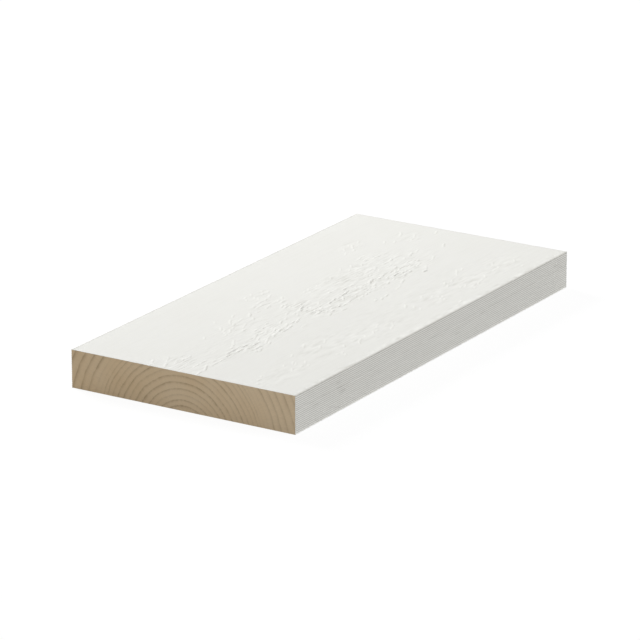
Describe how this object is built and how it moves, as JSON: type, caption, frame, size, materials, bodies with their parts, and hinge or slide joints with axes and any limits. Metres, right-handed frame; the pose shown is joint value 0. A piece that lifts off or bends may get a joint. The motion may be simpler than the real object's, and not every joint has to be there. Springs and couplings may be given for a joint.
{
  "type": "exterior cladding board",
  "caption": "Rectangular softwood cladding board, painted white with raised grain on its face, with finely ribbed long edges and bare end grain at its square-sawn ends.",
  "frame": {"origin": "middle of the back face, the face that lies on the floor or against the battens", "axes": "+X along the length and the grain, +Y across the width, +Z from the back face up to the painted face; the end that the picture shows is at -X"},
  "size_m": [0.3, 0.145, 0.022],
  "materials": {
    "painted_softwood": "matt white factory paint on the long faces, bare tan softwood on the sawn ends"
  },
  "bodies": {
    "root": {"cladding_board": "painted_softwood"}
  },
  "joints": []
}
